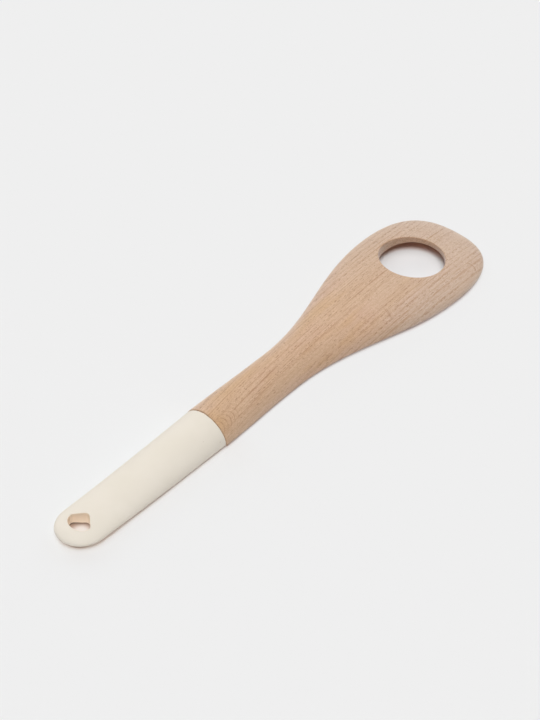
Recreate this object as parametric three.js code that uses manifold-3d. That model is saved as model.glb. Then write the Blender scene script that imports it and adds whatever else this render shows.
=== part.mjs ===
// Beech salad spoon with a silicone grip sleeve, lying face down.
// Millimetres. X runs from the handle end to the tip of the head, Y across, Z up from the table.
import * as THREE from "three";
import { mergeVertices } from "three/addons/utils/BufferGeometryUtils.js";
import Module from "manifold-3d";

// Whole spoon
const spoonLength = 300;
const cornerWidth = 5; // rounding between the flat face and the sides, seen from below

// Grip sleeve
const sleeveLength = 98.5;
const sleeveWall = 1.2;
const sleeveEndWidth = 26;
const sleeveMouthWidth = 27.3;
const sleeveEndHeight = 7.7; // top of the sleeve above the table
const sleeveMouthHeight = 14.1;
const sleeveEndEdge = 2.3; // widest line of the section above the sleeve's underside
const sleeveMouthEdge = 1.7;
const sleeveRelief = 0.5; // the sleeve's underside lies this far above the wood's flat face
const endLift = 1.6; // the underside rises this much more towards the handle end
const endLiftLength = 65;
const endCapLength = 14; // rounding of the handle end, seen from above
const endNoseLength = 6; // rounding of the handle end, seen from the side
const mouthRound = 0.4;

// Fit between sleeve and wood
const tangClearance = 0.3;
const mouthGap = 0.3;

// Wooden handle
const shoulderWidth = 27.9;
const shoulderHeight = 14.6;
const shoulderEdge = 1.7;
const shoulderRound = 0.6;
const neckFromShoulder = 54;
const neckWidth = 25.6;
const neckHeight = 15.5;
const handleRoundness = 1.9; // section exponent: 2 is an ellipse, more is squarer

// Head
const headWidth = 66.5;
const bellyFromTip = 40; // the widest place
const flareLead = 41; // how long the neck's line and the belly's line carry on into the flare
const flareSettle = 40;
const tipShoulder = 26; // how far the belly's line carries on towards the tip
const tipBluntness = 24.5;
const browFromTip = 60; // where the head's back starts to fall towards the tip
const browHeight = 14.1;
const browSlope = 0.03;
const noseLead = 28.5;
const noseDrop = 4.3;
const headEdge = 3.3;
const headRoundness = 2.45;
const headBlendLength = 70; // the handle's section turns into the head's over this length from the neck

// Bowl hollow on the face, and the drain hole through it
const rimWidth = 6.5;
const bowlLength = 90;
const bowlDepth = 7.9;
const bowlDeepestFromTip = 38;
const bowlFullness = 3.8; // 2 is a shallow scoop, more is a flatter floor with steeper sides
const bowlHeelWidth = 26;
const bowlHeelLead = 34;
const drainHoleFromTip = 40.2;
const drainHoleDiameter = 35.8;

// Hanging hole in the sleeve: a round base towards the handle end and a blunt point towards the head
const hangHoleFromEnd = 7.2;
const hangHoleWidth = 12.6;
const hangBaseLength = 5.2;
const hangPointLength = 6.3;
const hangRound = 1.2;

// Fineness
const domeSteps = 24;
const cornerSteps = 4;
const cornerShare = 0.8; // a narrow section keeps at least the rest of its face flat
const planSteps = 14;
const guideSteps = 200;
const sleeveSteps = 14;
const capSteps = 7;
const bowlRings = 9;
const drainHoleSides = 48;
const hangCurveSteps = 8;
const cutMargin = 2; // cutters run past the surfaces that they cut

// Places along the spoon, from the handle end
const shoulderAt = sleeveLength + mouthGap;
const neckAt = shoulderAt + neckFromShoulder;
const bellyAt = spoonLength - bellyFromTip;
const browAt = spoonLength - browFromTip;
const tangInset = sleeveWall + tangClearance;

const { lerp, clamp, smoothstep } = THREE.MathUtils;
const wasm = await Module();
wasm.setup();

// Rises from 0 to 1 like a quarter circle
function quarterRound(share) {
  const rest = 1 - clamp(share, 0, 1);
  return Math.sqrt(1 - rest * rest);
}

// Reads a drawn curve as a function of the distance along the spoon
function guide(path) {
  const points = path.getPoints(guideSteps);
  return (along) => {
    const found = points.findIndex((point) => point.x >= along);
    const next = found < 0 ? points.length - 1 : Math.max(found, 1);
    const [a, b] = [points[next - 1], points[next]];
    const share = b.x > a.x ? (along - a.x) / (b.x - a.x) : 1;
    return lerp(a.y, b.y, clamp(share, 0, 1));
  };
}

// One ring of the spoon's skin: a dome over a flat face with rounded corners, from +Y over the top to -Y
function sectionRing(along, { halfWidth, top, edge, bottom, roundness }) {
  const ring = [];
  const reach = Math.min(cornerWidth, cornerShare * halfWidth);
  for (let step = 0; step <= domeSteps; step++) {
    const angle = (Math.PI * step) / domeSteps;
    const across = Math.cos(angle);
    const y = halfWidth * Math.sign(across) * Math.abs(across) ** (2 / roundness);
    const z = lerp(edge, top, Math.abs(Math.sin(angle)) ** (2 / roundness));
    ring.push(new THREE.Vector3(along, y, z));
  }
  const corner = [];
  for (let step = 1; step <= cornerSteps; step++) {
    const angle = (Math.PI * step) / (2 * cornerSteps);
    const y = halfWidth - reach * (1 - Math.cos(angle));
    corner.push(new THREE.Vector3(along, y, lerp(edge, bottom, Math.sin(angle))));
  }
  const mirrored = corner.map((point) => new THREE.Vector3(along, -point.y, point.z));
  return [...ring, ...mirrored, ...corner.reverse()];
}

// A closed skin over rings of equal count, which starts and ends in a single point
function skin(start, rings, end) {
  const count = rings[0].length;
  const points = [start, ...rings.flat(), end];
  const index = [];
  const at = (ring, place) => 1 + ring * count + (place % count);
  const last = rings.length - 1;
  for (let place = 0; place < count; place++) {
    index.push(0, at(0, place + 1), at(0, place));
    for (let ring = 0; ring < last; ring++) {
      index.push(at(ring, place), at(ring, place + 1), at(ring + 1, place + 1));
      index.push(at(ring, place), at(ring + 1, place + 1), at(ring + 1, place));
    }
    index.push(points.length - 1, at(last, place), at(last, place + 1));
  }
  const geometry = new THREE.BufferGeometry().setFromPoints(points);
  geometry.setIndex(index);
  return geometry;
}

function toSolid(geometry) {
  geometry.deleteAttribute("normal");
  geometry.deleteAttribute("uv");
  const merged = mergeVertices(geometry);
  const triVerts = Uint32Array.from(merged.index.array);
  const vertProperties = Float32Array.from(merged.attributes.position.array);
  return new wasm.Manifold(new wasm.Mesh({ numProp: 3, vertProperties, triVerts }));
}

function toGeometry(solid) {
  const { vertProperties, triVerts } = solid.getMesh();
  const geometry = new THREE.BufferGeometry();
  geometry.setAttribute("position", new THREE.BufferAttribute(vertProperties, 3));
  geometry.setIndex(new THREE.BufferAttribute(triVerts, 1));
  geometry.computeVertexNormals();
  return geometry;
}

// The sleeve's outer section, or the same section drawn in by an even inset
function sleeveSection(along, inset) {
  const widthShare = clamp((along - endCapLength) / (sleeveLength - endCapLength), 0, 1);
  const heightShare = clamp((along - endNoseLength) / (sleeveLength - endNoseLength), 0, 1);
  const cap = quarterRound((along - inset) / (endCapLength - inset));
  const nose = quarterRound((along - inset) / (endNoseLength - inset));
  const lift = endLift * Math.max(0, 1 - along / endLiftLength) ** 2;
  const underside = sleeveRelief + lift;
  const height = lerp(sleeveEndHeight, sleeveMouthHeight, heightShare);
  const edgeHeight = lerp(sleeveEndEdge, sleeveMouthEdge, along / sleeveLength);
  const edgeShare = edgeHeight / (height - underside);
  const [low, high] = [underside + inset, height - inset];
  const edge = lerp(low, high, edgeShare);
  return {
    halfWidth: (lerp(sleeveEndWidth, sleeveMouthWidth, widthShare) / 2 - inset) * cap,
    top: lerp(edge, high, nose),
    edge,
    bottom: lerp(edge, low, nose),
    roundness: handleRoundness,
  };
}

// Rings of the sleeve's section from its round end to a given place, close together at the end
function sleeveRings(inset, until) {
  const rings = [];
  for (let step = 1; step <= capSteps; step++) {
    const turn = (Math.PI * step) / (2 * capSteps);
    const along = lerp(inset, endCapLength, 1 - Math.cos(turn));
    rings.push(sectionRing(along, sleeveSection(along, inset)));
  }
  for (let step = 1; step <= sleeveSteps; step++) {
    const along = lerp(endCapLength, until, step / sleeveSteps);
    rings.push(sectionRing(along, sleeveSection(along, inset)));
  }
  return rings;
}

function sleeveEndPoint(inset) {
  return new THREE.Vector3(inset, 0, sleeveSection(inset, inset).edge);
}

// Hanging hole's outline, seen from above, grown by an even margin
function hangHoleShape(grow) {
  const half = hangHoleWidth / 2 + grow;
  const widest = hangHoleFromEnd + hangBaseLength;
  const side = new THREE.Vector2(widest + hangRound / 2, half);
  const point = new THREE.Vector2(widest + hangPointLength + grow, 0);
  const slope = point.clone().sub(side).normalize().multiplyScalar(hangRound);
  const shape = new THREE.Shape();
  shape.absellipse(widest, 0, hangBaseLength + grow, half, -Math.PI / 2, Math.PI / 2, true);
  shape.quadraticCurveTo(side.x, side.y, side.x + slope.x, side.y + slope.y);
  shape.lineTo(point.x - slope.x, -slope.y);
  shape.quadraticCurveTo(point.x, point.y, point.x - slope.x, slope.y);
  shape.lineTo(side.x + slope.x, -side.y - slope.y);
  shape.quadraticCurveTo(side.x, -side.y, widest, -half);
  return shape;
}

function hangHoleCutter(grow) {
  const depth = sleeveMouthHeight + 2 * cutMargin;
  const options = { depth, bevelEnabled: false, curveSegments: hangCurveSteps };
  const cutter = new THREE.ExtrudeGeometry(hangHoleShape(grow), options);
  cutter.translate(0, 0, -cutMargin);
  return toSolid(cutter);
}

// Half width of the wood, seen from above
function headPlan() {
  const middle = (shoulderAt + neckAt) / 2;
  const [shoulder, neck, belly] = [shoulderWidth / 2, neckWidth / 2, headWidth / 2];
  const plan = new THREE.Path();
  plan.moveTo(shoulderAt, shoulder);
  plan.bezierCurveTo(middle, shoulder, middle, neck, neckAt, neck);
  plan.bezierCurveTo(neckAt + flareLead, neck, bellyAt - flareSettle, belly, bellyAt, belly);
  plan.bezierCurveTo(bellyAt + tipShoulder, belly, spoonLength, tipBluntness, spoonLength, 0);
  return plan;
}

// Line of the wood's back, seen from the side
function backLine() {
  const middle = (shoulderAt + neckAt) / 2;
  const third = (browAt - neckAt) / 3;
  const line = new THREE.Path();
  line.moveTo(shoulderAt, shoulderHeight);
  line.bezierCurveTo(middle, shoulderHeight, middle, neckHeight, neckAt, neckHeight);
  const crestEnd = browHeight + browSlope * third;
  line.bezierCurveTo(neckAt + third, neckHeight, browAt - third, crestEnd, browAt, browHeight);
  const noseTop = browHeight - browSlope * noseLead;
  line.bezierCurveTo(browAt + noseLead, noseTop, spoonLength, headEdge + noseDrop, spoonLength, headEdge);
  return line;
}

// The wood's section past the shoulder, drawn in by an inset at its rounded shoulder edge
function woodSection(along, halfWidth, height, inset) {
  const blend = smoothstep(along, neckAt, neckAt + headBlendLength);
  const edge = lerp(shoulderEdge, headEdge, blend);
  const toTip = (spoonLength - along) / cornerWidth;
  return {
    halfWidth: halfWidth - inset,
    top: height - inset,
    edge,
    bottom: lerp(edge, inset, quarterRound(toTip)),
    roundness: lerp(handleRoundness, headRoundness, blend),
  };
}

function woodBlank() {
  const widthAt = guide(headPlan());
  const heightAt = guide(backLine());
  const rings = sleeveRings(tangInset, shoulderAt);
  for (const turn of [0, Math.PI / 4]) {
    const along = shoulderAt + shoulderRound * (1 - Math.cos(turn));
    const inset = shoulderRound * (1 - Math.sin(turn));
    rings.push(sectionRing(along, woodSection(along, widthAt(along), heightAt(along), inset)));
  }
  const stations = headPlan().getPoints(planSteps).slice(0, -1);
  stations[0].x += shoulderRound;
  for (const { x: along, y: halfWidth } of stations) {
    rings.push(sectionRing(along, woodSection(along, halfWidth, heightAt(along), 0)));
  }
  return skin(sleeveEndPoint(tangInset), rings, new THREE.Vector3(spoonLength, 0, headEdge));
}

// Rim of the bowl hollow, seen from above: from its heel round one side to the tip and back
function bowlRim() {
  const heel = spoonLength - rimWidth - bowlLength;
  const toe = spoonLength - rimWidth;
  const half = headWidth / 2 - rimWidth;
  const toeShare = (toe - bellyAt) / bellyFromTip;
  const bluntness = (tipBluntness * half) / (headWidth / 2);
  const path = new THREE.Path();
  path.moveTo(heel, 0);
  path.bezierCurveTo(heel, bowlHeelWidth / 2, bellyAt - bowlHeelLead, half, bellyAt, half);
  path.bezierCurveTo(bellyAt + tipShoulder * toeShare, half, toe, bluntness, toe, 0);
  const side = path.getPoints(planSteps);
  const otherSide = side.slice(1, -1).reverse();
  return [...side, ...otherSide.map((point) => new THREE.Vector2(point.x, -point.y))];
}

// The hollow's floor follows shrunken copies of its rim, and runs on past the face
function bowlCutter() {
  const deepest = new THREE.Vector2(spoonLength - bowlDeepestFromTip, 0);
  const rim = bowlRim();
  const outer = (1 + cutMargin / bowlDepth) ** (1 / bowlFullness);
  const rings = [];
  for (let step = 1; step <= bowlRings; step++) {
    const share = (outer * step) / bowlRings;
    const height = bowlDepth * (1 - share ** bowlFullness);
    rings.push(rim.map((point) => {
      const spot = deepest.clone().lerp(point, share);
      return new THREE.Vector3(spot.x, spot.y, height);
    }));
  }
  const crown = new THREE.Vector3(deepest.x, deepest.y, bowlDepth);
  const under = new THREE.Vector3(deepest.x, deepest.y, -cutMargin);
  return toSolid(skin(crown, rings, under));
}

function drainHoleCutter() {
  const radius = drainHoleDiameter / 2;
  const height = 2 * (neckHeight + cutMargin);
  const cutter = new THREE.CylinderGeometry(radius, radius, height, drainHoleSides);
  cutter.rotateX(Math.PI / 2);
  cutter.translate(spoonLength - drainHoleFromTip, 0, 0);
  return toSolid(cutter);
}

function spoonBody() {
  const solid = toSolid(woodBlank())
    .subtract(bowlCutter())
    .subtract(drainHoleCutter())
    .subtract(hangHoleCutter(tangInset));
  const beech = new THREE.MeshStandardMaterial({ color: 0xcbaa87, roughness: 0.65, metalness: 0 });
  const mesh = new THREE.Mesh(toGeometry(solid), beech);
  mesh.name = "spoon_body";
  return mesh;
}

// A closed solid over rings of the sleeve's section, flat at its far end
function sleeveSolid(inset, rings) {
  const along = rings.at(-1)[0].x;
  const middle = new THREE.Vector3(along, 0, sleeveSection(along, inset).edge);
  return toSolid(skin(sleeveEndPoint(inset), rings, middle));
}

// A sock over the tang, with a tube through the tang's hole that lines the hanging hole
function gripSleeve() {
  const lip = sectionRing(sleeveLength, sleeveSection(sleeveLength, mouthRound));
  const outside = [...sleeveRings(0, sleeveLength - mouthRound), lip];
  const inside = sleeveRings(sleeveWall, sleeveLength + cutMargin);
  const cavity = sleeveSolid(sleeveWall, inside).subtract(hangHoleCutter(sleeveWall));
  const solid = sleeveSolid(0, outside).subtract(cavity).subtract(hangHoleCutter(0));
  const silicone = new THREE.MeshStandardMaterial({ color: 0xece4d6, roughness: 0.75, metalness: 0 });
  const mesh = new THREE.Mesh(toGeometry(solid), silicone);
  mesh.name = "grip_sleeve";
  return mesh;
}

const spoon = new THREE.Group();
spoon.add(spoonBody(), gripSleeve());
spoon.position.x = -spoonLength / 2;

export default spoon;
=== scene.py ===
"""Beech salad spoon with a cream silicone grip, lying face down on a pale table."""
import math
from collections import namedtuple

import bmesh
import bpy
import numpy as np
from mathutils import Matrix, Vector
from mathutils.geometry import delaunay_2d_cdt


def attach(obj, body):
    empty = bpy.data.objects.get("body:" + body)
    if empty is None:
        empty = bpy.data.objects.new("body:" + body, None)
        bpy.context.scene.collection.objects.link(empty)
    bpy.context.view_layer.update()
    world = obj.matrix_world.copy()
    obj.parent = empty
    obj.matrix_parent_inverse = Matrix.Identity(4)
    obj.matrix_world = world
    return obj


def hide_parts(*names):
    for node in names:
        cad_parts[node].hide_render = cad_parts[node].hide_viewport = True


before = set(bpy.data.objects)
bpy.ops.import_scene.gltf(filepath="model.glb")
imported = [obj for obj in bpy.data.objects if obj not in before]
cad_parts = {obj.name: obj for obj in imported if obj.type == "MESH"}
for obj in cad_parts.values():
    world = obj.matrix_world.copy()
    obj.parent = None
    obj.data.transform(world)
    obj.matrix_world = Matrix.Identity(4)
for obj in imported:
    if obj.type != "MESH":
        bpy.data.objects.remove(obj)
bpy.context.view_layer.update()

MM = 0.001

# Sizes in millimetres, as in the part's source
SPOON_LENGTH = 300
CORNER_WIDTH, CORNER_SHARE = 5, 0.8
SLEEVE_LENGTH, SLEEVE_WALL = 98.5, 1.2
SLEEVE_END_WIDTH, SLEEVE_MOUTH_WIDTH = 26, 27.3
SLEEVE_END_HEIGHT, SLEEVE_MOUTH_HEIGHT = 7.7, 14.1
SLEEVE_END_EDGE, SLEEVE_MOUTH_EDGE = 2.3, 1.7
SLEEVE_RELIEF = 0.5
END_LIFT, END_LIFT_LENGTH = 1.6, 65
END_CAP_LENGTH, END_NOSE_LENGTH = 14, 6
TANG_CLEARANCE, MOUTH_GAP = 0.3, 0.3
SHOULDER_WIDTH, SHOULDER_HEIGHT, SHOULDER_EDGE = 27.9, 14.6, 1.7
NECK_FROM_SHOULDER, NECK_WIDTH, NECK_HEIGHT = 54, 25.6, 15.5
HANDLE_ROUNDNESS, HEAD_ROUNDNESS = 1.9, 2.45
HEAD_WIDTH, HEAD_EDGE, HEAD_BLEND_LENGTH = 66.5, 3.3, 70
BELLY_FROM_TIP = 40
FLARE_LEAD, FLARE_SETTLE = 41, 40
TIP_SHOULDER, TIP_BLUNTNESS = 26, 24.5
BROW_FROM_TIP, BROW_HEIGHT, BROW_SLOPE = 60, 14.1, 0.03
NOSE_LEAD, NOSE_DROP = 28.5, 4.3
RIM_WIDTH = 6.5
BOWL_LENGTH, BOWL_DEPTH, BOWL_FULLNESS = 90, 7.9, 3.8
BOWL_DEEPEST_FROM_TIP = 38
BOWL_HEEL_WIDTH, BOWL_HEEL_LEAD = 26, 34
DRAIN_FROM_TIP, DRAIN_DIAMETER = 40.2, 35.8
HANG_FROM_END, HANG_WIDTH = 7.2, 12.6
HANG_BASE_LENGTH, HANG_POINT_LENGTH, HANG_ROUND = 5.2, 6.3, 1.2

# Softened edges, in millimetres
SHOULDER_ROUND = 0.3
MOUTH_ROUND = 0.3
DRAIN_ROUND, DRAIN_LOWER_ROUND = 0.5, 0.15
HANG_ROUND_OVER, HANG_POINT_ROUND = 0.4, 2.8
HIDDEN_ROUND_OVER = 0.2
BOWL_RIM_SOFTNESS = 0.5

# Where rounded edges end and plain faces begin, as shares of the rounded reach
FLAT_START = 1.04
WALL_SUPPORT = 1.6
BOWL_RUN_OUT, BOWL_FACE_START = 1.02, 1.03

# Fineness
DOME_STEPS, CORNER_STEPS = 72, 8
HOLE_STEPS, ROUND_STEPS, WALL_STEPS = 144, 5, 4
CAP_STEPS, HANG_ZONE_STEPS, GRIP_STEPS = 24, 11, 35
HANG_ZONE_END = 24  # millimetres from the handle end
WOOD_STEPS = (48, 96, 72)
PLAN_GUIDE_STEPS, BACK_GUIDE_STEPS = (400, 400, 800), (800, 800, 800)
RIM_GUIDE_STEPS = (200, 200)
HANG_BASE_POINTS, HANG_TURN_POINTS = 60, 20
BOWL_STEPS = 26
BOWL_CROWDING, BOWL_SETTLING = 0.9, 6  # exponents: rings crowd outwards, and the floor settles late
OPENING_MARGIN = 0.5  # faces nearer than this to a hole make way for it, in millimetres

# Sizes and places that follow from these, in millimetres, with places counted from the handle end
TANG_INSET = SLEEVE_WALL + TANG_CLEARANCE
SHOULDER_AT = SLEEVE_LENGTH + MOUTH_GAP
NECK_AT = SHOULDER_AT + NECK_FROM_SHOULDER
BELLY_AT = SPOON_LENGTH - BELLY_FROM_TIP
BROW_AT = SPOON_LENGTH - BROW_FROM_TIP
BOWL_DEEPEST = (SPOON_LENGTH - BOWL_DEEPEST_FROM_TIP, 0)
DRAIN_CENTRE = (SPOON_LENGTH - DRAIN_FROM_TIP, 0)
DRAIN_RADIUS = DRAIN_DIAMETER / 2
HANG_CENTRE = (HANG_FROM_END + HANG_BASE_LENGTH, 0)

MIRROR = np.array([1, -1])
ROUND_TURNS = np.linspace(0, math.pi / 2, ROUND_STEPS + 1)
FLAT_PLACE = DOME_STEPS + CORNER_STEPS + 1  # the flat strip of a section's face starts at this point

Section = namedtuple("Section", "half top edge bottom roundness")


def lerp(a, b, share):
    return a + (b - a) * share


def quarter_round(share):
    """Rises from 0 to 1 like a quarter circle."""
    rest = 1 - np.clip(share, 0, 1)
    return np.sqrt(1 - rest * rest)


def smooth_step(low, high, value):
    share = np.clip((value - low) / (high - low), 0, 1)
    return share * share * (3 - 2 * share)


def steps_after(start, end, count):
    """Even steps from start to end, without start."""
    return np.linspace(start, end, count + 1)[1:]


def bezier(corners, steps):
    t = np.linspace(0, 1, steps + 1)[:, None]
    a, b, c, d = np.array(corners, float)
    return a * (1 - t) ** 3 + 3 * b * t * (1 - t) ** 2 + 3 * c * t * t * (1 - t) + d * t ** 3


def trace(curves, steps):
    return [bezier(corners, count) for corners, count in zip(curves, steps)]


def resample(line, count):
    """A closed outline as equally spaced points."""
    closed = np.vstack([line, line[:1]])
    lengths = np.hypot(*np.diff(closed, axis=0).T)
    travelled = np.concatenate([[0], np.cumsum(lengths)])
    places = np.arange(count) * travelled[-1] / count
    return np.column_stack([np.interp(places, travelled, closed[:, axis]) for axis in (0, 1)])


def reach_of(outline, centre):
    """How far an outline lies from its centre, as a function of direction."""
    offsets = outline - np.array(centre)
    angles = np.arctan2(offsets[:, 1], offsets[:, 0])
    order = np.argsort(angles)
    angles, reaches = angles[order], np.hypot(*offsets[order].T)
    return lambda angle: np.interp(angle, angles, reaches, period=2 * math.pi)


# Outlines and sections
def plan_curves():
    """Half width of the wood, seen from above: handle, flare and tip."""
    middle = (SHOULDER_AT + NECK_AT) / 2
    shoulder, neck, belly = SHOULDER_WIDTH / 2, NECK_WIDTH / 2, HEAD_WIDTH / 2
    handle = [(SHOULDER_AT, shoulder), (middle, shoulder), (middle, neck), (NECK_AT, neck)]
    flare = [(NECK_AT, neck), (NECK_AT + FLARE_LEAD, neck),
             (BELLY_AT - FLARE_SETTLE, belly), (BELLY_AT, belly)]
    tip = [(BELLY_AT, belly), (BELLY_AT + TIP_SHOULDER, belly),
           (SPOON_LENGTH, TIP_BLUNTNESS), (SPOON_LENGTH, 0)]
    return handle, flare, tip


def back_curves():
    """Line of the wood's back, seen from the side: handle, crest and nose."""
    middle = (SHOULDER_AT + NECK_AT) / 2
    third = (BROW_AT - NECK_AT) / 3
    nose_top = BROW_HEIGHT - BROW_SLOPE * NOSE_LEAD
    handle = [(SHOULDER_AT, SHOULDER_HEIGHT), (middle, SHOULDER_HEIGHT),
              (middle, NECK_HEIGHT), (NECK_AT, NECK_HEIGHT)]
    crest = [(NECK_AT, NECK_HEIGHT), (NECK_AT + third, NECK_HEIGHT),
             (BROW_AT - third, BROW_HEIGHT + BROW_SLOPE * third), (BROW_AT, BROW_HEIGHT)]
    nose = [(BROW_AT, BROW_HEIGHT), (BROW_AT + NOSE_LEAD, nose_top),
            (SPOON_LENGTH, HEAD_EDGE + NOSE_DROP), (SPOON_LENGTH, HEAD_EDGE)]
    return handle, crest, nose


PLAN = np.vstack(trace(plan_curves(), PLAN_GUIDE_STEPS))
BACK = np.vstack(trace(back_curves(), BACK_GUIDE_STEPS))


def wood_section(along, inset=0.0):
    blend = smooth_step(NECK_AT, NECK_AT + HEAD_BLEND_LENGTH, along)
    edge = lerp(SHOULDER_EDGE, HEAD_EDGE, blend)
    tip_round = quarter_round((SPOON_LENGTH - along) / CORNER_WIDTH)
    return Section(np.interp(along, PLAN[:, 0], PLAN[:, 1]) - inset,
                   np.interp(along, BACK[:, 0], BACK[:, 1]) - inset, edge,
                   lerp(edge, inset, tip_round), lerp(HANDLE_ROUNDNESS, HEAD_ROUNDNESS, blend))


def sleeve_section(along, inset=0.0):
    width_share = np.clip((along - END_CAP_LENGTH) / (SLEEVE_LENGTH - END_CAP_LENGTH), 0, 1)
    height_share = np.clip((along - END_NOSE_LENGTH) / (SLEEVE_LENGTH - END_NOSE_LENGTH), 0, 1)
    cap = quarter_round((along - inset) / (END_CAP_LENGTH - inset))
    nose = quarter_round((along - inset) / (END_NOSE_LENGTH - inset))
    underside = SLEEVE_RELIEF + END_LIFT * np.maximum(0, 1 - along / END_LIFT_LENGTH) ** 2
    height = lerp(SLEEVE_END_HEIGHT, SLEEVE_MOUTH_HEIGHT, height_share)
    edge_height = lerp(SLEEVE_END_EDGE, SLEEVE_MOUTH_EDGE, along / SLEEVE_LENGTH)
    low, high = underside + inset, height - inset
    edge = lerp(low, high, edge_height / (height - underside))
    half = (lerp(SLEEVE_END_WIDTH, SLEEVE_MOUTH_WIDTH, width_share) / 2 - inset) * cap
    return Section(half, lerp(edge, high, nose), edge, lerp(edge, low, nose), HANDLE_ROUNDNESS)


def dome_height(section, y):
    """Height of a section's upper side at y."""
    share = np.clip(np.abs(y) / section.half, 0, 1) ** section.roundness
    return lerp(section.edge, section.top, (1 - share) ** (1 / section.roundness))


def section_ring(along, section):
    """A section's points: over the dome from +Y to -Y, then back along the face."""
    angle = np.linspace(0, math.pi, DOME_STEPS + 1)
    power = 2 / section.roundness
    y = section.half * np.sign(np.cos(angle)) * np.abs(np.cos(angle)) ** power
    z = lerp(section.edge, section.top, np.abs(np.sin(angle)) ** power)
    turn = steps_after(0, math.pi / 2, CORNER_STEPS)
    reach = min(CORNER_WIDTH, CORNER_SHARE * section.half)
    corner_y = np.append(section.half - reach * (1 - np.cos(turn)), section.half - FLAT_START * reach)
    corner_z = np.append(lerp(section.edge, section.bottom, np.sin(turn)), section.bottom)
    ring_y = np.concatenate([y, -corner_y, corner_y[::-1]])
    ring_z = np.concatenate([z, corner_z, corner_z[::-1]])
    return np.column_stack([np.full(len(ring_y), along), ring_y, ring_z])


# Mesh building, in millimetres until a piece is finished
def place(mesh, points):
    shift = np.array([SPOON_LENGTH / 2, 0, 0])
    return [mesh.verts.new(point) for point in np.asarray(points) - shift]


def lace(mesh, rings, skip=None):
    """Quads between closed rings of equal count; skip(ring, place) leaves one out."""
    count = len(rings[0])
    faces = []
    for number, (one, other) in enumerate(zip(rings, rings[1:])):
        for spot in range(count):
            if skip and skip(number, spot):
                continue
            after = (spot + 1) % count
            quad = mesh.faces.new((one[spot], one[after], other[after], other[spot]))
            faces.append((spot, quad))
    return faces


def cap_ring(mesh, ring, point):
    tip = place(mesh, [point])[0]
    for one, other in zip(ring, ring[1:] + ring[:1]):
        mesh.faces.new((tip, one, other))


def edges_round(mesh, ring):
    pairs = zip(ring, ring[1:] + ring[:1])
    return [mesh.edges.get(pair) or mesh.edges.new(pair) for pair in pairs]


def fill_between(mesh, border, ring):
    """Triangles, well shaped from above, from border edges inwards to a ring of vertices."""
    edges = border + edges_round(mesh, ring)
    verts = list(dict.fromkeys(vert for edge in edges for vert in edge.verts))
    number = {vert: count for count, vert in enumerate(verts)}
    pairs = [[number[vert] for vert in edge.verts] for edge in edges]
    inside_lines, same_place = 1, 1e-6
    result = delaunay_2d_cdt([vert.co.xy for vert in verts], pairs, [], inside_lines, same_place)
    triangles, sources = result[2:4]
    for triangle in triangles:
        corners = [verts[sources[corner][0]] for corner in triangle]
        if not set(ring).issuperset(corners):
            mesh.faces.new(corners)


def open_for(mesh, faces, ring, centre):
    """Takes out the faces that lie inside or near a ring, and fills the gap up to it."""
    middle = np.array([centre[0] - SPOON_LENGTH / 2, centre[1]])
    reach = reach_of(np.array([vert.co[:2] for vert in ring]), middle)

    def near(point):
        offset = np.array(point[:2]) - middle
        return np.hypot(*offset) < reach(np.arctan2(offset[1], offset[0])) + OPENING_MARGIN

    gone = [face for face in faces
            if near(face.calc_center_median()) or any(near(vert.co) for vert in face.verts)]
    border = [edge for face in gone for edge in face.edges
              if sum(other in gone for other in edge.link_faces) == 1]
    bmesh.ops.delete(mesh, geom=gone, context="FACES_ONLY")
    kept = set(border + edges_round(mesh, ring))
    loose = [edge for edge in mesh.edges if not edge.link_faces and edge not in kept]
    bmesh.ops.delete(mesh, geom=loose, context="EDGES")
    fill_between(mesh, border, ring)


def upper_faces(faces):
    return [face for spot, face in faces if spot < DOME_STEPS]


def lower_faces(faces):
    return [face for spot, face in faces if spot >= DOME_STEPS]


def finish_piece(mesh, name, node, material):
    bmesh.ops.recalc_face_normals(mesh, faces=mesh.faces)
    bmesh.ops.scale(mesh, vec=(MM, MM, MM), verts=mesh.verts)
    data = bpy.data.meshes.new(name)
    mesh.to_mesh(data)
    mesh.free()
    data.shade_smooth()
    data.materials.append(material)
    piece = bpy.data.objects.new(name, data)
    bpy.context.collection.objects.link(piece)
    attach(piece, "root")
    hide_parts(node)


# Holes and hollow
def rounded_edge(outline, surface, radius, into):
    """Rings from a surface over a rounded edge into a hole; into is 1 upwards, -1 downwards."""
    support = outline(radius * WALL_SUPPORT)
    rings = [np.column_stack([support, surface(support)])]
    for turn in ROUND_TURNS:
        spots = outline(radius * (1 - math.sin(turn)))
        depth = into * radius * (1 - math.cos(turn))
        rings.append(np.column_stack([spots, surface(spots) + depth]))
    return rings


def wall_rings(outline, upper, lower, upper_round, lower_round):
    """Rings of a hole's wall with both edges rounded over."""
    above = rounded_edge(outline, upper, upper_round, -1)
    below = rounded_edge(outline, lower, lower_round, 1)
    wall = [lerp(above[-1], below[-1], step / WALL_STEPS) for step in range(1, WALL_STEPS)]
    return above + wall + below[::-1]


def hang_outline(grow):
    """Hanging hole from above: a round base and a blunt point towards the head."""
    half = HANG_WIDTH / 2 + grow
    widest = HANG_CENTRE[0]
    side = np.array([widest + HANG_ROUND / 2, half])
    point = np.array([widest + HANG_POINT_LENGTH + grow, 0])
    ahead = (point - side) / np.hypot(*(point - side))
    side_end, point_start = side + ahead * HANG_ROUND, point - ahead * HANG_POINT_ROUND
    angle = np.linspace(math.pi, math.pi / 2, HANG_BASE_POINTS)
    base_x = widest + (HANG_BASE_LENGTH + grow) * np.cos(angle)
    base = np.column_stack([base_x, half * np.sin(angle)])
    t = np.linspace(0, 1, HANG_TURN_POINTS)[:, None]

    def turn(start, corner, end):
        return start * (1 - t) ** 2 + 2 * corner * t * (1 - t) + end * t * t

    half_point = turn(point_start, point, point_start * MIRROR)[:HANG_TURN_POINTS // 2]
    upper = np.vstack([base, turn(base[-1], side, side_end), half_point])
    lower = (upper * MIRROR)[::-1]
    return resample(np.vstack([upper, lower[:-1]]), HOLE_STEPS)


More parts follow.
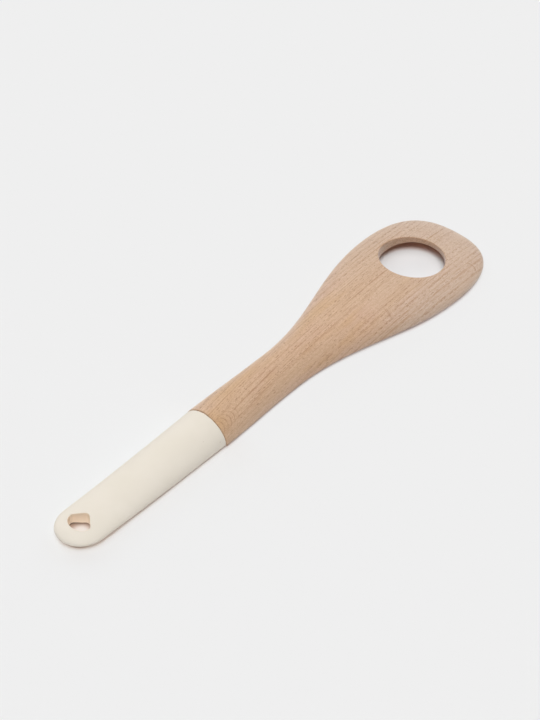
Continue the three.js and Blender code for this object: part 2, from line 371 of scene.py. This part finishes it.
def drain_outline(grow):
    angle = np.arange(HOLE_STEPS) * 2 * math.pi / HOLE_STEPS
    circle = np.column_stack([np.cos(angle), np.sin(angle)])
    return np.array(DRAIN_CENTRE) + circle * (DRAIN_RADIUS + grow)


def bowl_rim():
    """Rim of the bowl hollow, seen from above: one side from heel to toe, and its mirror image back."""
    heel = SPOON_LENGTH - RIM_WIDTH - BOWL_LENGTH
    toe = SPOON_LENGTH - RIM_WIDTH
    half = HEAD_WIDTH / 2 - RIM_WIDTH
    toe_share = (toe - BELLY_AT) / BELLY_FROM_TIP
    bluntness = TIP_BLUNTNESS * half / (HEAD_WIDTH / 2)
    to_belly = [(heel, 0), (heel, BOWL_HEEL_WIDTH / 2),
                (BELLY_AT - BOWL_HEEL_LEAD, half), (BELLY_AT, half)]
    to_toe = [(BELLY_AT, half), (BELLY_AT + TIP_SHOULDER * toe_share, half),
              (toe, bluntness), (toe, 0)]
    one, other = trace((to_belly, to_toe), RIM_GUIDE_STEPS)
    side = np.vstack([one, other[1:]])
    return np.vstack([side, (side * MIRROR)[::-1][1:-1]])


BOWL_REACH = reach_of(bowl_rim(), BOWL_DEEPEST)


def bowl_height(spots):
    """Height of the hollow's floor, softened where it meets the face."""
    offset = spots - np.array(BOWL_DEEPEST)
    share = np.hypot(*offset.T) / BOWL_REACH(np.arctan2(offset[:, 1], offset[:, 0]))
    raw = BOWL_DEPTH * (1 - share ** BOWL_FULLNESS)
    return (raw + np.sqrt(raw * raw + BOWL_RIM_SOFTNESS ** 2)) / 2


def head_rings():
    """From the back round the drain hole's wall, over the hollow's floor and out on to the face."""
    def back(spots):
        return np.array([dome_height(wood_section(x), y) for x, y in spots])

    rings = wall_rings(drain_outline, back, bowl_height, DRAIN_ROUND, DRAIN_LOWER_ROUND)
    start = rings[-1][:, :2]
    offset = start - np.array(BOWL_DEEPEST)
    angle = np.arctan2(offset[:, 1], offset[:, 0])
    ray = np.column_stack([np.cos(angle), np.sin(angle)]) * BOWL_REACH(angle)[:, None]
    end = np.array(BOWL_DEEPEST) + ray * BOWL_RUN_OUT
    left_over = bowl_height(end)
    for step in range(1, BOWL_STEPS + 1):
        way = math.sin(math.pi / 2 * step / BOWL_STEPS) ** BOWL_CROWDING
        spots = lerp(start, end, way)
        rings.append(np.column_stack([spots, bowl_height(spots) - left_over * way ** BOWL_SETTLING]))
    spots = np.array(BOWL_DEEPEST) + ray * BOWL_FACE_START
    rings.append(np.column_stack([spots, np.zeros(len(spots))]))
    return rings


def bore(mesh, faces, inset, round_over):
    """The hanging hole through one skin of the grip, from its upper to its lower side."""
    def top(spots):
        return np.array([dome_height(sleeve_section(x, inset), y) for x, y in spots])

    def bottom(spots):
        return np.array([sleeve_section(x, inset).bottom for x, _ in spots])

    def outline(more):
        return hang_outline(inset + more)

    rings = [place(mesh, ring) for ring in wall_rings(outline, top, bottom, round_over, round_over)]
    lace(mesh, rings)
    open_for(mesh, upper_faces(faces), rings[0], HANG_CENTRE)
    open_for(mesh, lower_faces(faces), rings[-1], HANG_CENTRE)
    return rings


# Pieces
def sleeve_rings(inset, until):
    """Rings of the grip's section, closer together at its round end and by the hanging hole."""
    turn = steps_after(0, math.pi / 2, CAP_STEPS)
    cap = lerp(inset, END_CAP_LENGTH, 1 - np.cos(turn))
    by_hole = steps_after(END_CAP_LENGTH, HANG_ZONE_END, HANG_ZONE_STEPS)
    rest = steps_after(HANG_ZONE_END, until, GRIP_STEPS)
    stations = np.concatenate([cap, by_hole, rest])
    return [section_ring(along, sleeve_section(along, inset)) for along in stations]


def sleeve_end(inset):
    return (inset, 0, sleeve_section(inset, inset).edge)


def build_wood(material):
    mesh = bmesh.new()
    rings = sleeve_rings(TANG_INSET, SHOULDER_AT)
    tang_count = len(rings)
    for turn in ROUND_TURNS:
        along = SHOULDER_AT + SHOULDER_ROUND * (1 - math.cos(turn))
        rings.append(section_ring(along, wood_section(along, SHOULDER_ROUND * (1 - math.sin(turn)))))
    flat_start = len(rings) - 1
    stations = np.concatenate([curve[1:, 0] for curve in trace(plan_curves(), WOOD_STEPS)])[:-1]
    rings += [section_ring(along, wood_section(along)) for along in stations
              if along > SHOULDER_AT + SHOULDER_ROUND]
    places = np.array([ring[0, 0] for ring in rings])
    flat_end = np.flatnonzero(places <= SPOON_LENGTH - CORNER_WIDTH)[-1]
    verts = [place(mesh, ring) for ring in rings]

    def on_flat(ring, spot):
        return spot == FLAT_PLACE and flat_start <= ring < flat_end

    faces = lace(mesh, verts, on_flat)
    tang_faces = faces[:(tang_count - 1) * len(verts[0])]
    head_faces = faces[len(tang_faces):]
    cap_ring(mesh, verts[0], sleeve_end(TANG_INSET))
    cap_ring(mesh, verts[-1], (SPOON_LENGTH, 0, HEAD_EDGE))

    # Drain hole and hollow
    head = [place(mesh, ring) for ring in head_rings()]
    lace(mesh, head)
    open_for(mesh, upper_faces(head_faces), head[0], DRAIN_CENTRE)
    left, right = ([ring[spot] for ring in verts[flat_start:flat_end + 1]]
                   for spot in (FLAT_PLACE, FLAT_PLACE + 1))
    fill_between(mesh, edges_round(mesh, left + right[::-1]), head[-1])

    bore(mesh, tang_faces, TANG_INSET, HIDDEN_ROUND_OVER)
    finish_piece(mesh, "beech_spoon", "spoon_body", material)


def build_sleeve(material):
    mesh = bmesh.new()
    lining_glow = mesh.verts.layers.float.new("lining_glow")
    outer = sleeve_rings(0, SLEEVE_LENGTH - MOUTH_ROUND)
    lip = []
    for turn in ROUND_TURNS[1:]:
        along = SLEEVE_LENGTH - MOUTH_ROUND * (1 - math.sin(turn))
        lip.append(section_ring(along, sleeve_section(along, MOUTH_ROUND * (1 - math.cos(turn)))))
    inner = sleeve_rings(SLEEVE_WALL, SLEEVE_LENGTH)[::-1]
    verts = [place(mesh, ring) for ring in outer + lip + inner]
    faces = lace(mesh, verts)
    per_ring = len(verts[0])
    outer_faces = faces[:(len(outer) - 1) * per_ring]
    inner_faces = faces[(len(outer) + len(lip)) * per_ring:]
    cap_ring(mesh, verts[0], sleeve_end(0))
    cap_ring(mesh, verts[-1], sleeve_end(SLEEVE_WALL))

    # The hanging hole, and the outside of the tube that lines it
    wall = bore(mesh, outer_faces, 0, HANG_ROUND_OVER)
    # The wall's share of painted glow, fading out over its rounded edges
    for number, ring in enumerate(wall):
        from_skin = min(number, len(wall) - 1 - number) - 1
        for vert in ring:
            vert[lining_glow] = np.clip(from_skin / ROUND_STEPS, 0, 1)
    bore(mesh, inner_faces, SLEEVE_WALL, HIDDEN_ROUND_OVER)
    finish_piece(mesh, "silicone_sleeve", "grip_sleeve", material)


# Materials. From here on, places and sizes are in metres of the shared frame
def srgb(*levels):
    """Screen levels from 0 to 255 as a linear colour."""
    shares = [level / 255 for level in levels]
    return tuple(c / 12.92 if c <= 0.04045 else ((c + 0.055) / 1.055) ** 2.4 for c in shares) + (1,)


def on_plan(spot):
    """A place on the spoon's plan, from millimetres along and across it to metres."""
    return ((spot[0] - SPOON_LENGTH / 2) * MM, spot[1] * MM, 0)


class Shading:
    """The node tree of a material or world, with short calls for the nodes used here."""

    def __init__(self, owner):
        owner.use_nodes = True
        self.tree = owner.node_tree

    def add(self, kind, inputs=(), **settings):
        node = self.tree.nodes.new("ShaderNode" + kind)
        for key, value in settings.items():
            setattr(node, key, value)
        for key, value in dict(inputs).items():
            self.feed(node.inputs[key], value)
        return node

    def feed(self, socket, value):
        if isinstance(value, bpy.types.NodeSocket):
            self.tree.links.new(value, socket)
        else:
            socket.default_value = value

    def supply(self, node, key, value):
        """Feeds a node that a new tree has from the start."""
        self.feed(self.tree.nodes[node].inputs[key], value)

    def math(self, operation, *values):
        return self.add("Math", dict(enumerate(values)), operation=operation).outputs[0]

    def times(self, product, *factors):
        for factor in factors:
            product = self.math("MULTIPLY", product, factor)
        return product

    def distance(self, spot, centre):
        return self.add("VectorMath", {0: spot, 1: centre}, operation="DISTANCE").outputs["Value"]

    def stretch(self, vector, scale):
        return self.add("VectorMath", {0: vector, 1: scale}, operation="MULTIPLY").outputs[0]

    def combine(self, *parts):
        return self.add("CombineXYZ", dict(enumerate(parts))).outputs[0]

    def noise(self, vector, scale, detail=2.0, roughness=0.5):
        inputs = {"Vector": self.stretch(vector, scale), "Scale": 1.0,
                  "Detail": detail, "Roughness": roughness}
        return self.add("TexNoise", inputs).outputs["Fac"]

    def between(self, value, low, high, start=0.0, end=1.0):
        """Goes smoothly from start, where value is low, to end, where it is high."""
        inputs = {"Value": value, "From Min": low, "From Max": high, "To Min": start, "To Max": end}
        return self.add("MapRange", inputs, interpolation_type="SMOOTHSTEP").outputs[0]

    def mix(self, factor, one, other, blend="MIX"):
        """Blends two colours; inputs 6 and 7 and output 2 are the node's sockets for colours."""
        inputs = {0: factor, 6: one, 7: other}
        return self.add("Mix", inputs, data_type="RGBA", blend_type=blend).outputs[2]

    def specks(self, vector, scale, spot_span, chance_span):
        """Scattered spots: near a cell's point, and only in some cells."""
        cells = self.add("TexVoronoi", {"Vector": self.stretch(vector, scale), "Scale": 1.0}).outputs
        spot = self.between(cells["Distance"], *spot_span)
        chance = self.add("SeparateColor", {0: cells["Color"]}).outputs[0]
        return self.times(spot, self.between(chance, *chance_span))

    def chance(self, value):
        """A number from 0 to 1 that is the same all through each whole step of value."""
        step = self.math("FLOOR", value)
        return self.add("TexWhiteNoise", {"W": step}, noise_dimensions="1D").outputs[0]

    def off_middle(self, value):
        """How far value lies from the middle of its whole step."""
        return self.math("ABSOLUTE", self.math("SUBTRACT", self.math("FRACT", value), 0.5))

    def patch(self, x, y, centre, size):
        """A soft spot: 1 at its centre, falling away over size."""
        powers = []
        for value, middle, reach in zip((x, y), centre, size):
            offset = self.math("DIVIDE", self.math("SUBTRACT", value, middle), reach)
            powers.append(self.times(offset, offset))
        return self.math("EXPONENT", self.times(self.math("ADD", *powers), -1.0))

    def stroke(self, x, y, start, end, width):
        """A thin soft scratch from start to end."""
        middle, reach = (Vector(start) + Vector(end)) / 2, (Vector(end) - Vector(start)) / 2
        ahead = reach.normalized()
        beside = Vector((-ahead.y, ahead.x))
        places = []
        for way in (ahead, beside):
            places.append(self.math("MULTIPLY_ADD", x, way.x, self.times(y, way.y)))
        return self.patch(*places, (ahead.dot(middle), beside.dot(middle)), (reach.length, width))

    def bump(self, height, strength, distance):
        inputs = {"Height": height, "Strength": strength, "Distance": distance}
        self.supply("Principled BSDF", "Normal", self.add("Bump", inputs).outputs[0])

    def seen_directly(self):
        """1 for rays from the camera, also by reflection or through glass, and 0 for the rest."""
        ray = self.add("LightPath").outputs
        seen = self.math("MAXIMUM", ray["Is Camera Ray"], ray["Is Glossy Ray"])
        return self.math("MAXIMUM", seen, ray["Is Transmission Ray"])


# Look of the beech. Scales are noise cycles per metre, and spans are what Shading.between takes
GRAIN_CURVE, GRAIN_SLOPE, GRAIN_TILT = 0.458, -0.102, 0.6
WAVE_SCALE, WAVE_HEIGHT = (9, 45, 45), 0.0016
UNEVEN_SCALE, BREAK_SCALE = (0, 260, 0), (260, 700, 700)

RING_SPACING, RING_UNEVENNESS, RING_SHARPNESS = 0.0028, 1.4, 3.5
RING_RISE_SPAN, RING_FALL_SPAN, RING_CHANCE_SPAN = (0.35, 0.96), (1.0, 0.96), (-0.5, 1.0)
RING_FADE_SCALE, RING_FADE_SPAN = (30, 160, 160), (0.25, 0.65, 0.25, 1.0)
RING_BREAK_SPAN = (0.3, 0.62, 0.45, 1.2)

FIGURE_CENTRE, FIGURE_SIZE = (-0.046, 0.004), (0.009, 0.004)
ARCH_CURVE, ARCH_SPACING, ARCH_WAVE = 110, 0.0027, 1.2
ARCH_LINE_SPAN, ARCH_BREAK_SPAN = (0.2, 0.03), (0.3, 0.6, 0.3, 1.0)

PORE_ROW_SPACING, PORE_ROW_UNEVENNESS, PORE_ROW_STRAY = 0.0014, 2.2, 0.7
PORE_STRAY_SCALE = (60, 200, 200)
PORE_SCALE = (800, 7.3, 1500)  # the middle value is cycles per row
PORE_WIDTH_SPAN, PORE_LENGTH_SPAN, PORE_CHANCE_SPAN = (0.2, 0.06), (0.5, 0.62), (0.0, 1.0, 0.2, 1.0)

ARC_HUB, ARC_RADIUS = (0.1256, -0.0258, 0), 0.0042
ARC_LINE_SPAN, ARC_START_SPAN = (0.0004, 0.0001), (0.1280, 0.1288)
SCRATCHES = (((0.0671, -0.0157), (0.0659, -0.0214)), ((0.0679, -0.0168), (0.0662, -0.0217)))
SCRATCH_WIDTH = 0.0002
WEAR_HEIGHT_SPAN = (0.003, 0.005)

FLECK_SCALE, FLECK_SPOT_SPAN, FLECK_CHANCE_SPAN = (240, 900, 900), (0.26, 0.13), (0.72, 0.82)
CLOUD_SCALE, CLOUD_DETAIL, CLOUD_SPAN = (14, 70, 70), 3.0, (0.3, 0.7)
CLOUD_DARK, CLOUD_PALE = srgb(213, 180, 148), srgb(221, 191, 162)

Tint = namedtuple("Tint", "scale detail roughness span colour")
FLUSH = Tint((16, 60, 60), 2.0, 0.5, (0.4, 0.7, 0.0, 0.75), srgb(212, 176, 152))
HONEY = Tint((18, 100, 70), 2.0, 0.5, (0.48, 0.7, 0.0, 0.65), srgb(211, 172, 124))
STREAK = Tint((10, 900, 900), 3.0, 0.6, (0.35, 0.65, 0.12, 0.0), srgb(182, 140, 104))
FIBRE = Tint((130, 2200, 2200), 4.0, 0.75, (0.3, 0.62, 0.45, 0.0), srgb(180, 138, 102))
FRECKLE = Tint((1300, 3000, 3000), 1.0, 0.5, (0.3, 0.6, 0.5, 0.0), srgb(178, 136, 102))

TIP_SPAN, TIP_TINT = (0.04, 0.15, 0.0, 0.75), srgb(211, 193, 177)
# Painted sheen: a paler, greyer patch on the near flank of the head
NEAR_SHEEN_CENTRE, NEAR_SHEEN_SIZE, NEAR_SHEEN_STRENGTH = (0.085, -0.028), (0.045, 0.010), 0.75
NEAR_SHEEN_TINT = srgb(210, 191, 175)
AMBER_CENTRE, AMBER_SIZE, AMBER_STRENGTH = (-0.05, 0.007), (0.005, 0.006), 0.6
AMBER_TINT = srgb(211, 171, 122)

RING_STRENGTH, RING_TINT = 0.78, srgb(168, 122, 84)
ARCH_STRENGTH, ARCH_TINT = 0.7, srgb(160, 112, 74)
PORE_STRENGTH, PORE_TINT = 0.8, srgb(152, 105, 68)
FLECK_STRENGTH, FLECK_TINT = 0.65, srgb(148, 102, 68)
WEAR_STRENGTH, WEAR_TINT = 0.6, srgb(160, 112, 76)

END_GRAIN_SPAN = ((DRAIN_RADIUS + DRAIN_ROUND) * MM, DRAIN_RADIUS * MM, 0.0, 0.5)
END_GRAIN_TINT = srgb(202, 158, 122)
FUZZ_SCALE, FUZZ_SPAN, FUZZ_TINT = (2200, 2200, 1400), (0.42, 0.62), srgb(150, 106, 78)
# Painted shade: the foot darkens where the spoon meets the table
FOOT_SHADE_SPAN, FOOT_SHADE_TINT = (0.0030, 0.0014, 0.0, 0.4), srgb(118, 96, 90)

BEECH_ROUGHNESS_SPAN = (0.2, 0.8, 0.72, 0.58)
PORE_RELIEF, RING_RELIEF = -0.6, -0.3
BEECH_BUMP, BEECH_BUMP_HEIGHT = 0.5, 0.0002
SHEEN, SHEEN_ROUGHNESS = 0.45, 0.5

Grain = namedtuple("Grain", "x y z across vector wave uneven broken")


def beech_grain(shade, spot):
    """Grain lies in tilted layers along the spoon, slightly bent and wavy."""
    x, y, z = shade.add("SeparateXYZ", {0: spot}).outputs
    bend = shade.math("MULTIPLY_ADD", x, GRAIN_CURVE, GRAIN_SLOPE)
    across = shade.math("MULTIPLY_ADD", bend, x, y)
    across = shade.math("MULTIPLY_ADD", z, GRAIN_TILT, across)
    wave = shade.noise(spot, WAVE_SCALE)
    across = shade.math("MULTIPLY_ADD", wave, WAVE_HEIGHT, across)
    vector = shade.combine(x, across, z)
    uneven = shade.noise(vector, UNEVEN_SCALE, detail=1.0)
    broken = shade.noise(vector, BREAK_SCALE)
    return Grain(x, y, z, across, vector, wave, uneven, broken)


def growth_rings(shade, grain):
    """Lines along the grain, unevenly spaced and broken into short stretches."""
    ring = shade.math("DIVIDE", grain.across, RING_SPACING)
    ring = shade.math("MULTIPLY_ADD", grain.uneven, RING_UNEVENNESS, ring)
    share = shade.math("FRACT", ring)
    rise = shade.math("POWER", shade.between(share, *RING_RISE_SPAN), RING_SHARPNESS)
    fall = shade.between(share, *RING_FALL_SPAN)
    chance = shade.between(shade.chance(ring), *RING_CHANCE_SPAN)
    fade = shade.between(shade.noise(grain.vector, RING_FADE_SCALE), *RING_FADE_SPAN)
    return shade.times(rise, fall, chance, fade, shade.between(grain.broken, *RING_BREAK_SPAN))


def ring_arches(shade, grain):
    """Nested arches, where the rings run out of the surface."""
    off_axis = shade.math("SUBTRACT", grain.across, FIGURE_CENTRE[1])
    arch = shade.math("MULTIPLY_ADD", shade.times(off_axis, off_axis), ARCH_CURVE, grain.x)
    arch = shade.math("MULTIPLY_ADD", grain.wave, ARCH_WAVE, shade.math("DIVIDE", arch, ARCH_SPACING))
    line = shade.between(shade.off_middle(arch), *ARCH_LINE_SPAN)
    return shade.times(line, shade.between(grain.broken, *ARCH_BREAK_SPAN))


def pores(shade, grain):
    """Short dashes in rows along the grain."""
    row = shade.math("DIVIDE", grain.across, PORE_ROW_SPACING)
    row = shade.math("MULTIPLY_ADD", grain.uneven, PORE_ROW_UNEVENNESS, row)
    stray = shade.noise(grain.vector, PORE_STRAY_SCALE)
    row = shade.math("MULTIPLY_ADD", stray, PORE_ROW_STRAY, row)
    along_row = shade.combine(grain.x, shade.math("FLOOR", row), grain.z)
    width = shade.between(shade.off_middle(row), *PORE_WIDTH_SPAN)
    length = shade.between(shade.noise(along_row, PORE_SCALE, detail=1.0), *PORE_LENGTH_SPAN)
    return shade.times(width, length, shade.between(shade.chance(row), *PORE_CHANCE_SPAN))


def wear(shade, grain, plan):
    """Marks on the back: a hair-fine arc near the tip and two scratches on the near side of the head."""
    from_arc = shade.math("SUBTRACT", shade.distance(plan, ARC_HUB), ARC_RADIUS)
    arc = shade.between(shade.math("ABSOLUTE", from_arc), *ARC_LINE_SPAN)
    marks = shade.times(arc, shade.between(grain.x, *ARC_START_SPAN))
    for start, end in SCRATCHES:
        scratch = shade.stroke(grain.x, grain.y, start, end, SCRATCH_WIDTH)
        marks = shade.math("MAXIMUM", marks, scratch)
    return shade.times(marks, shade.between(grain.z, *WEAR_HEIGHT_SPAN))


def beech():
    material = bpy.data.materials.new("beech")
    shade = Shading(material)
    spot = shade.add("TexCoord").outputs["Object"]
    grain = beech_grain(shade, spot)
    plan = shade.combine(grain.x, grain.y)

    # Arches stand beside the grip in place of the rings and pores
    figure = shade.patch(grain.x, grain.across, FIGURE_CENTRE, FIGURE_SIZE)
    plain = shade.math("SUBTRACT", 1.0, figure)
    rings = shade.times(growth_rings(shade, grain), plain)
    arches = shade.times(ring_arches(shade, grain), figure)
    dashes = shade.times(pores(shade, grain), plain)
    flecks = shade.specks(grain.vector, FLECK_SCALE, FLECK_SPOT_SPAN, FLECK_CHANCE_SPAN)

    def layer(tint):
        return shade.noise(grain.vector, tint.scale, tint.detail, tint.roughness)

    fibre = layer(FIBRE)
    cloud = shade.noise(grain.vector, CLOUD_SCALE, CLOUD_DETAIL)
    colour = shade.mix(shade.between(cloud, *CLOUD_SPAN), CLOUD_DARK, CLOUD_PALE)
    for tint in (FLUSH, HONEY):
        colour = shade.mix(shade.between(layer(tint), *tint.span), colour, tint.colour)
    colour = shade.mix(shade.between(grain.x, *TIP_SPAN), colour, TIP_TINT)
    # Painted sheen on the head's near flank
    near_sheen = shade.patch(grain.x, grain.y, NEAR_SHEEN_CENTRE, NEAR_SHEEN_SIZE)
    colour = shade.mix(shade.times(near_sheen, NEAR_SHEEN_STRENGTH), colour, NEAR_SHEEN_TINT)
    amber = shade.patch(grain.x, grain.across, AMBER_CENTRE, AMBER_SIZE)
    colour = shade.mix(shade.times(amber, AMBER_STRENGTH), colour, AMBER_TINT)
    for noise, tint in ((layer(STREAK), STREAK), (fibre, FIBRE), (layer(FRECKLE), FRECKLE)):
        colour = shade.mix(shade.between(noise, *tint.span), colour, tint.colour)
    marks = (
        (rings, RING_STRENGTH, RING_TINT),
        (arches, ARCH_STRENGTH, ARCH_TINT),
        (dashes, PORE_STRENGTH, PORE_TINT),
        (flecks, FLECK_STRENGTH, FLECK_TINT),
        (wear(shade, grain, plan), WEAR_STRENGTH, WEAR_TINT),
    )
    for mask, strength, tint in marks:
        colour = shade.mix(shade.times(mask, strength), colour, tint)

    # Rough end grain in the drain hole, and painted shade darkening the foot by the table
    end_grain = shade.between(shade.distance(plan, on_plan(DRAIN_CENTRE)), *END_GRAIN_SPAN)
    colour = shade.mix(end_grain, colour, END_GRAIN_TINT)
    fuzz = shade.between(shade.noise(spot, FUZZ_SCALE), *FUZZ_SPAN)
    colour = shade.mix(shade.times(end_grain, fuzz), colour, FUZZ_TINT)
    colour = shade.mix(shade.between(grain.z, *FOOT_SHADE_SPAN), colour, FOOT_SHADE_TINT)

    shade.supply("Principled BSDF", "Base Color", colour)
    shade.supply("Principled BSDF", "Roughness", shade.between(fibre, *BEECH_ROUGHNESS_SPAN))
    shade.supply("Principled BSDF", "Sheen Weight", SHEEN)
    shade.supply("Principled BSDF", "Sheen Roughness", SHEEN_ROUGHNESS)
    height = shade.math("MULTIPLY_ADD", dashes, PORE_RELIEF, fibre)
    height = shade.math("MULTIPLY_ADD", rings, RING_RELIEF, height)
    shade.bump(height, BEECH_BUMP, BEECH_BUMP_HEIGHT)
    return material


# Look of the silicone
SHEET_SCALE, SHEET_DETAIL, SHEET_SPAN = (60, 60, 60), 3.0, (0.3, 0.7)
SHEET_DARK, SHEET_PALE = srgb(230, 222, 208), srgb(233, 225, 212)
DUST_SCALE, DUST_SPOT_SPAN, DUST_CHANCE_SPAN = (130, 130, 130), (0.05, 0.025), (0.7, 0.8)
DUST_STRENGTH, DUST_TINT = 0.5, srgb(176, 160, 142)
# Painted glow: the lining is tinted warm and pale, as if lit by light shining through the silicone
LINING_GLOW_TINT = srgb(254, 234, 211)
SILICONE_ROUGHNESS_SPAN = (0.2, 0.8, 0.58, 0.68)
GRIT_SCALE, SILICONE_BUMP, SILICONE_BUMP_HEIGHT = (3500, 3500, 3500), 0.12, 0.00008


def silicone():
    material = bpy.data.materials.new("silicone")
    shade = Shading(material)
    spot = shade.add("TexCoord").outputs["Object"]
    cloud = shade.noise(spot, SHEET_SCALE, SHEET_DETAIL)
    dust = shade.specks(spot, DUST_SCALE, DUST_SPOT_SPAN, DUST_CHANCE_SPAN)
    lining_glow = shade.add("Attribute", attribute_name="lining_glow").outputs["Fac"]
    colour = shade.mix(shade.between(cloud, *SHEET_SPAN), SHEET_DARK, SHEET_PALE)
    colour = shade.mix(shade.times(dust, DUST_STRENGTH), colour, DUST_TINT)
    # Painted glow on the hanging hole's lining
    colour = shade.mix(lining_glow, colour, LINING_GLOW_TINT)
    shade.supply("Principled BSDF", "Base Color", colour)
    shade.supply("Principled BSDF", "Roughness", shade.between(cloud, *SILICONE_ROUGHNESS_SPAN))
    shade.bump(shade.noise(spot, GRIT_SCALE), SILICONE_BUMP, SILICONE_BUMP_HEIGHT)
    return material


# Stage: the table
PALE = srgb(239, 239, 239)
TABLE_REACH, TABLE_DROP = 4.0, 0.0001
GRIP_GLOW, WOOD_GLOW, NO_GLOW = srgb(167, 138, 122), srgb(226, 224, 223), srgb(0, 0, 0)
GLOW_SPAN = (-0.055, -0.035)
# Painted shade tints that dim the glow where the spoon covers the table closely
END_CONTACT_SHADE, CONTACT_SHADE, CONTACT_SHADE_SPAN = srgb(212, 203, 198), srgb(165, 150, 146), (-0.15, -0.08)
COVER_REACH, OPEN_SPAN = 0.004, (0.2, 0.65)

# Table under a hole: ovals, by centre and size, without glow, and painted shade colours in the middle
# and around it
Shadow = namedtuple("Shadow", "centre ovals span middle around")
HEAD_OVALS = (((0.097, 0), (0.046, 0.0295)), ((0.114, 0), (0.0325, 0.0305)))
GRIP_OVALS = ((on_plan(HANG_CENTRE)[:2], (0.0095, 0.0095)),)
OVAL_SPAN = (0.3, 0.45)
SHADOWS = (
    Shadow(centre=on_plan(DRAIN_CENTRE), ovals=HEAD_OVALS, span=(0.019, 0.025),
           middle=srgb(240, 241, 243), around=srgb(240, 200, 192)),
    Shadow(centre=on_plan(HANG_CENTRE), ovals=GRIP_OVALS, span=(0.0024, 0.0064),
           middle=srgb(231, 226, 223), around=srgb(190, 162, 146)),
)


def table_look():
    """Pale; to the camera it glows, less by the grip, not under the holes, and with painted shade where
    covered and under them.
    """
    material = bpy.data.materials.new("table")
    shade = Shading(material)
    spot = shade.add("TexCoord").outputs["Object"]
    x, y, _ = shade.add("SeparateXYZ", {0: spot}).outputs
    glow = shade.mix(shade.between(x, *GLOW_SPAN), GRIP_GLOW, WOOD_GLOW)
    colour = PALE
    for shadow in SHADOWS:
        inside = 0.0
        for centre, size in shadow.ovals:
            inside = shade.math("MAXIMUM", inside, shade.patch(x, y, centre, size))
        inside = shade.between(inside, *OVAL_SPAN)
        glow = shade.mix(inside, glow, NO_GLOW)
        # Painted shade: darker, warmer table colours in and around each hole's shadow
        from_middle = shade.between(shade.distance(spot, shadow.centre), *shadow.span)
        colour = shade.mix(inside, colour, shade.mix(from_middle, shadow.middle, shadow.around))
    # Painted shade along the spoon's covered edge: the glow is dimmed by occlusion and tinted
    contact_shade = shade.mix(shade.between(x, *CONTACT_SHADE_SPAN), END_CONTACT_SHADE, CONTACT_SHADE)
    dimmed = shade.mix(1.0, glow, contact_shade, "MULTIPLY")
    open_above = shade.add("AmbientOcclusion", {"Distance": COVER_REACH}).outputs["AO"]
    glow = shade.mix(shade.between(open_above, *OPEN_SPAN), dimmed, glow)
    from_below = shade.add("NewGeometry").outputs["Backfacing"]
    glow = shade.mix(from_below, glow, PALE)
    plain = shade.add("BsdfDiffuse", {"Color": PALE}).outputs[0]
    lit = shade.add("BsdfDiffuse", {"Color": shade.mix(1.0, colour, glow, "SUBTRACT")}).outputs[0]
    shine = shade.add("Emission", {"Color": glow}).outputs[0]
    seen = shade.add("AddShader", {0: lit, 1: shine}).outputs[0]
    blend = shade.add("MixShader", {0: shade.seen_directly(), 1: plain, 2: seen}).outputs[0]
    shade.supply("Material Output", "Surface", blend)
    return material


def build_table():
    ways = ((-1, -1), (1, -1), (1, 1), (-1, 1))
    corners = [(x * TABLE_REACH, y * TABLE_REACH, -TABLE_DROP) for x, y in ways]
    data = bpy.data.meshes.new("table")
    data.from_pydata(corners, [], [(0, 1, 2, 3)])
    data.materials.append(table_look())
    table = bpy.data.objects.new("table", data)
    bpy.context.collection.objects.link(table)


# Stage: camera and lamps. The view is turned from +Y towards +X and pitched down
VIEW_TURN, VIEW_PITCH = math.radians(48.33), math.radians(43.45)
VIEW_DISTANCE, VIEW_TARGET = 1.01105, (0, 0, 0.005)
IMAGE_SIZE, TARGET_PIXEL, FOCAL_PIXELS = (540, 720), (275.21, 373.1), 2000
SENSOR_WIDTH, CLIP_START = 36, 0.01

# Degrees from straight above, degrees clockwise from the view's heading, degrees wide, share of light
LAMPS = {
    "key": (28, 180, 24, 0.46),
    "top": (0, 0, 44, 0.21),
    "left_side": (35, 240, 44, 0.12),
    "left_rim": (65, 330, 44, 0.105),
    "right_rim": (65, 30, 44, 0.07),
    "right_side": (65, 90, 44, 0.035),
}


def build_light():
    """Soft lamps that together show the table in its own colour, and a world as pale as the table."""
    world = bpy.data.worlds.new("studio")
    bpy.context.scene.world = world
    shade = Shading(world)
    shade.supply("Background", "Color", PALE)
    shade.supply("Background", "Strength", shade.seen_directly())
    for name, (tilt, turn, width, share) in LAMPS.items():
        tilt, heading = math.radians(tilt), VIEW_TURN + math.radians(turn)
        level = math.sin(tilt)
        source = Vector((level * math.sin(heading), level * math.cos(heading), math.cos(tilt)))
        lamp = bpy.data.lights.new(name, "SUN")
        lamp.energy = share * math.pi / source.z
        lamp.angle = math.radians(width)
        sun = bpy.data.objects.new(name, lamp)
        sun.rotation_euler = source.to_track_quat("Z", "Y").to_euler()
        bpy.context.collection.objects.link(sun)


def build_camera():
    """Where the photograph was taken from, with the target at its pixel of the photograph."""
    level, drop = math.cos(VIEW_PITCH), math.sin(VIEW_PITCH)
    right = Vector((math.cos(VIEW_TURN), -math.sin(VIEW_TURN), 0))
    ahead = Vector((level * math.sin(VIEW_TURN), level * math.cos(VIEW_TURN), -drop))
    up = right.cross(ahead)
    aside, below = ((pixel - size / 2) / FOCAL_PIXELS for pixel, size in zip(TARGET_PIXEL, IMAGE_SIZE))
    data = bpy.data.cameras.new("camera")
    data.sensor_fit = "AUTO"
    data.sensor_width = SENSOR_WIDTH
    data.lens = FOCAL_PIXELS * SENSOR_WIDTH / max(IMAGE_SIZE)
    data.clip_start = CLIP_START
    camera = bpy.data.objects.new("camera", data)
    position = Vector(VIEW_TARGET) - (ahead + right * aside - up * below) * VIEW_DISTANCE
    rotation = Matrix((right, up, -ahead)).transposed().to_4x4()
    camera.matrix_world = Matrix.Translation(position) @ rotation
    bpy.context.collection.objects.link(camera)
    bpy.context.scene.camera = camera


build_wood(beech())
build_sleeve(silicone())
build_table()
build_light()
build_camera()
bpy.context.scene.view_settings.view_transform = "Standard"
